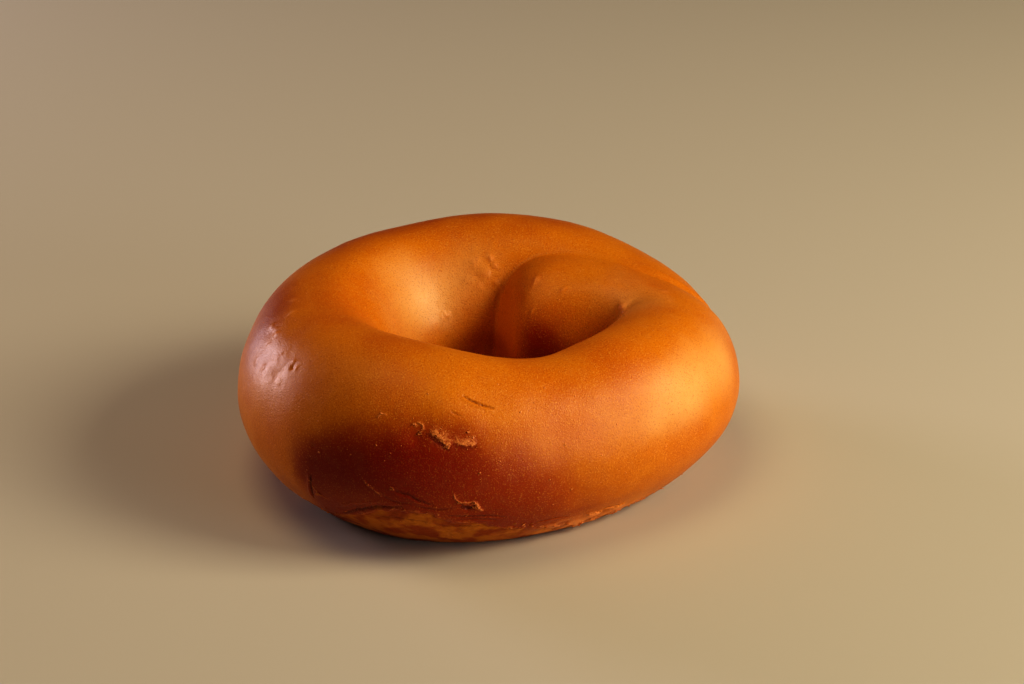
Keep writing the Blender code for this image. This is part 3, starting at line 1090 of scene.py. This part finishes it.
def flake_places():
    """Ring angle, section angle and size in millimetres of every flake of lifted skin."""
    draw = np.random.default_rng(FLAKE_SEED)
    rings, sections = [], []
    for start, end, count in FLAKES_ON_EDGE:
        ring = draw.uniform(start, end, count)
        above = draw.uniform(0.0, 1.0, count) ** FLAKES_CROWDING * FLAKES_REACH
        rings.append(ring)
        sections.append(edge_section(ring) + np.degrees(above / ROPE_RADIUS))
    torn = along_torn_skin(draw, FLAKES_ON_TORN_SKIN)
    rings, sections = np.concatenate([*rings, torn[0]]), np.concatenate([*sections, torn[1]])
    return rings, sections, draw.uniform(*FLAKE_SIZE, len(rings))


class Scatter(Nodes):
    """A Geometry Nodes tree that sets one small shape on each point of a helper mesh."""

    def __init__(self, name, material):
        super().__init__(bpy.data.node_groups.new(name, "GeometryNodeTree"))
        self.name = name
        self.material = material
        self.sizes = {}
        self.tree.interface.new_socket("Points", in_out="INPUT", socket_type="NodeSocketGeometry")
        self.tree.interface.new_socket("Bits", in_out="OUTPUT", socket_type="NodeSocketGeometry")
        self.entry = self.node("NodeGroupInput")

    def size(self, name, value):
        """A named input of the tree, with the value that this piece gives it."""
        socket = self.tree.interface.new_socket(name, in_out="INPUT", socket_type="NodeSocketFloat")
        self.sizes[socket.identifier] = value
        return self.entry.outputs[name]

    def stored(self, name, kind="FLOAT_VECTOR"):
        settings = {"data_type": kind}
        return self.node("GeometryNodeInputNamedAttribute", settings, {"Name": name}).outputs[0]

    def vector(self, operation, first, second=None, scale=None):
        sockets = {0: first, 1: second, "Scale": scale}
        sockets = {name: value for name, value in sockets.items() if value is not None}
        return self.node("ShaderNodeVectorMath", {"operation": operation}, sockets).outputs[0]

    def random(self, low, high, seed):
        sockets = {"Min": low, "Max": high, "Seed": seed}
        return self.node("FunctionNodeRandomValue", {"data_type": "FLOAT_VECTOR"}, sockets).outputs[0]

    def standing(self, tilt, seed):
        """Lies along the crust, turned at random and tipped up to the tilt, in radians."""
        flat = self.node(
            "FunctionNodeAlignRotationToVector", {"axis": "Z"}, {"Vector": self.stored("outwards")}
        )
        level = self.node(
            "FunctionNodeAlignRotationToVector",
            {"axis": "X", "pivot_axis": "Z"},
            {"Rotation": flat.outputs[0], "Vector": self.stored("along")},
        )
        spin = self.random((-tilt, -tilt, -COPY_SPIN), (tilt, tilt, COPY_SPIN), seed)
        turn = self.node("FunctionNodeEulerToRotation", {}, {0: spin})
        return self.node(
            "FunctionNodeRotateRotation",
            {"rotation_space": "LOCAL"},
            {"Rotation": level.outputs[0], "Rotate By": turn.outputs[0]},
        ).outputs[0]

    def close(self, shape, tilt, proportions, unevenness, wave, seed):
        """Sets the shape on every point, makes each copy uneven, and ends the tree."""
        size = self.stored("size", "FLOAT")
        lengths = [self.size(*proportion) for proportion in proportions]
        scale = self.node("ShaderNodeCombineXYZ", {}, dict(enumerate(lengths))).outputs[0]
        low, high = COPY_SIZES
        own_size = self.random((low, low, low), (high, high, high), seed + 1)
        scale = self.vector("MULTIPLY", scale, own_size)
        sockets = {
            "Points": self.entry.outputs["Points"],
            "Instance": shape,
            "Rotation": self.standing(tilt, seed),
            "Scale": self.vector("SCALE", scale, scale=size),
        }
        copies = self.node("GeometryNodeInstanceOnPoints", {}, sockets).outputs[0]
        made = self.node("GeometryNodeRealizeInstances", {}, {"Geometry": copies}).outputs[0]
        place = self.node("GeometryNodeInputPosition").outputs[0]
        waves = self.size("Waves per Metre", 1.0 / (wave * MM))
        sockets = {"Vector": place, "Scale": waves, "Detail": 1.0}
        clouds = self.node("ShaderNodeTexNoise", {}, sockets).outputs["Color"]
        bend = self.vector("SUBTRACT", clouds, (0.5, 0.5, 0.5))
        bend = self.vector("SCALE", bend, scale=self.size("Unevenness", unevenness))
        bend = self.vector("SCALE", bend, scale=size)
        made = self.node("GeometryNodeSetPosition", {}, {"Geometry": made, "Offset": bend}).outputs[0]
        made = self.node("GeometryNodeSetShadeSmooth", {}, {0: made}).outputs[0]
        sockets = {"Geometry": made, "Material": self.material}
        made = self.node("GeometryNodeSetMaterial", {}, sockets).outputs[0]
        self.node("NodeGroupOutput", {}, {"Bits": made})

    def made_on(self, tree, rings, sections, sizes):
        """The plain mesh of all copies, standing on a surface at these places."""
        places, outwards = laid_on(tree, Crust(rings, sections))
        helper_mesh = bpy.data.meshes.new(self.name)
        helper_mesh.from_pydata(places.tolist(), [], [])
        turn = np.radians(rings)
        along = np.stack([-np.sin(turn), np.cos(turn), np.zeros(len(turn))], axis=1)
        for name, values in (("outwards", outwards), ("along", along)):
            field = helper_mesh.attributes.new(name, "FLOAT_VECTOR", "POINT")
            field.data.foreach_set("vector", values.astype(np.float32).ravel())
        field_of(helper_mesh, "size", sizes * MM)
        # The bits darken with the crust's browning and painted shade.
        field_of(helper_mesh, "browning_and_shade", browning_and_shade(Crust(rings, sections)))
        helper = bpy.data.objects.new(self.name + "_helper", helper_mesh)
        bpy.context.scene.collection.objects.link(helper)
        modifier = helper.modifiers.new(self.name, "NODES")
        modifier.node_group = self.tree
        for identifier, value in self.sizes.items():
            modifier[identifier] = value
        graph = bpy.context.evaluated_depsgraph_get()
        mesh = bpy.data.meshes.new_from_object(helper.evaluated_get(graph))
        mesh.name = self.name
        bpy.data.objects.remove(helper)
        piece = bpy.data.objects.new(self.name, mesh)
        bpy.context.scene.collection.objects.link(piece)
        return piece


def grains(tree):
    """Fine dry grains on the skin, each a flat pebble."""
    scatter = Scatter("crust_grains", bits_finish("dry_grain", PALE_SKIN, GRAIN_BROWN, 0.5))
    shape = scatter.node("GeometryNodeMeshIcoSphere", {}, {"Radius": 1.0, "Subdivisions": 1}).outputs[0]
    proportions = (("Length", 1.5), ("Width", 0.9), ("Thickness", 0.55))
    scatter.close(shape, 0.2, proportions, unevenness=0.8, wave=0.15, seed=3)
    return scatter.made_on(tree, *grain_places())


def flakes(tree):
    """Curled leaves of torn skin, closed all round."""
    scatter = Scatter("skin_flakes", bits_finish("flaky_skin", PALE_SKIN, FLAKE_TAN, 0.7))
    sockets = {"Size X": 2.0, "Size Y": 2.0, "Vertices X": 6, "Vertices Y": 4}
    leaf = scatter.node("GeometryNodeMeshGrid", {}, sockets).outputs[0]
    place = scatter.node("GeometryNodeInputPosition").outputs[0]
    curl = scatter.vector("MULTIPLY", scatter.vector("MULTIPLY", place, place), LEAF_CURL)
    sockets = {0: curl, 1: (1.0, 1.0, 1.0)}
    curl = scatter.node("ShaderNodeVectorMath", {"operation": "DOT_PRODUCT"}, sockets)
    lift = scatter.node("ShaderNodeCombineXYZ", {}, {"Z": curl.outputs["Value"]}).outputs[0]
    leaf = scatter.node("GeometryNodeSetPosition", {}, {"Geometry": leaf, "Offset": lift}).outputs[0]
    sockets = {"Mesh": leaf, "Offset Scale": LEAF_THICKNESS, "Individual": False}
    top = scatter.node("GeometryNodeExtrudeMesh", {}, sockets).outputs[0]
    underside = scatter.node("GeometryNodeFlipFaces", {}, {0: leaf}).outputs[0]
    both = scatter.node("GeometryNodeJoinGeometry")
    scatter.set(both.inputs[0], underside)
    scatter.set(both.inputs[0], top)
    sockets = {"Geometry": both.outputs[0], "Distance": LEAF_WELD * LEAF_THICKNESS}
    shape = scatter.node("GeometryNodeMergeByDistance", {}, sockets).outputs[0]
    proportions = (("Length", 1.0), ("Width", 0.55), ("Thickness", 1.0))
    scatter.close(shape, 0.45, proportions, unevenness=1.1, wave=0.45, seed=11)
    return scatter.made_on(tree, *flake_places())


CAMERA_PLACE = (0.00467, -0.4711, 0.249)
CAMERA_TILT = 25.3  # degrees below the horizon
CAMERA_LENS = 85.0
CAMERA_SENSOR = 36.0
CAMERA_NEAR = 0.01


def camera():
    data = bpy.data.cameras.new("camera")
    data.lens = CAMERA_LENS
    data.sensor_width = CAMERA_SENSOR
    data.clip_start = CAMERA_NEAR
    holder = bpy.data.objects.new("camera", data)
    holder.location = CAMERA_PLACE
    holder.rotation_euler = (math.radians(90.0 - CAMERA_TILT), 0.0, 0.0)
    bpy.context.scene.collection.objects.link(holder)
    bpy.context.scene.camera = holder


# Soft lights: name, direction they come from, distance, width, height, watts, colour.
LIGHTS = (
    ("low_window", (0.84, -0.54, 0.14), 0.80, 0.36, 0.32, 1.65, (1.0, 1.0, 1.0)),
    ("high_window", (0.84, -0.20, 0.55), 0.80, 0.34, 0.30, 4.0, (1.0, 0.88, 0.60)),
    ("rim", (-0.83, 0.54, 0.12), 0.80, 0.26, 0.28, 2.8, (0.96, 0.84, 0.92)),
    ("overhead", (-0.25, -0.05, 0.95), 0.90, 0.50, 0.50, 1.8, (1.0, 0.74, 0.38)),
)
AIM = Vector((0.0, 0.0, 0.02))
STUDIO_COLOUR = (1.0, 0.98, 0.95, 1.0)
STUDIO_FILL = 0.03
FLOOR_COLOUR = (0.58, 0.535, 0.48, 1.0)
FLOOR_ROUGHNESS = 0.8
FLOOR_SIZE = 6.0


def lights():
    for name, direction, distance, width, height, power, colour in LIGHTS:
        data = bpy.data.lights.new(name, "AREA")
        data.shape = "RECTANGLE"
        data.size = width
        data.size_y = height
        data.energy = power
        data.color = colour
        lamp = bpy.data.objects.new(name, data)
        lamp.location = AIM + Vector(direction).normalized() * distance
        lamp.rotation_mode = "QUATERNION"
        lamp.rotation_quaternion = (AIM - lamp.location).to_track_quat("-Z", "Y")
        bpy.context.scene.collection.objects.link(lamp)
    world = bpy.data.worlds.new("studio")
    world.use_nodes = True
    background = world.node_tree.nodes["Background"]
    background.inputs["Color"].default_value = STUDIO_COLOUR
    background.inputs["Strength"].default_value = STUDIO_FILL
    bpy.context.scene.world = world


def floor():
    bpy.ops.mesh.primitive_plane_add(size=FLOOR_SIZE)
    piece = bpy.context.object
    piece.name = "floor"
    finish = Finish("pale_floor")
    finish.set(finish.shader.inputs["Base Color"], FLOOR_COLOUR)
    finish.set(finish.shader.inputs["Roughness"], FLOOR_ROUGHNESS)
    piece.data.materials.append(finish.material)


def main():
    skin = crust()
    skin.data.materials.append(crust_finish())
    tree = BVHTree.FromObject(skin, bpy.context.evaluated_depsgraph_get())
    for piece in (skin, grains(tree), flakes(tree)):
        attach(piece, "root")
        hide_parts("bagel")
    floor()
    camera()
    lights()
    bpy.context.scene.view_settings.view_transform = "Standard"
    bpy.context.scene.view_settings.look = "High Contrast"


main()
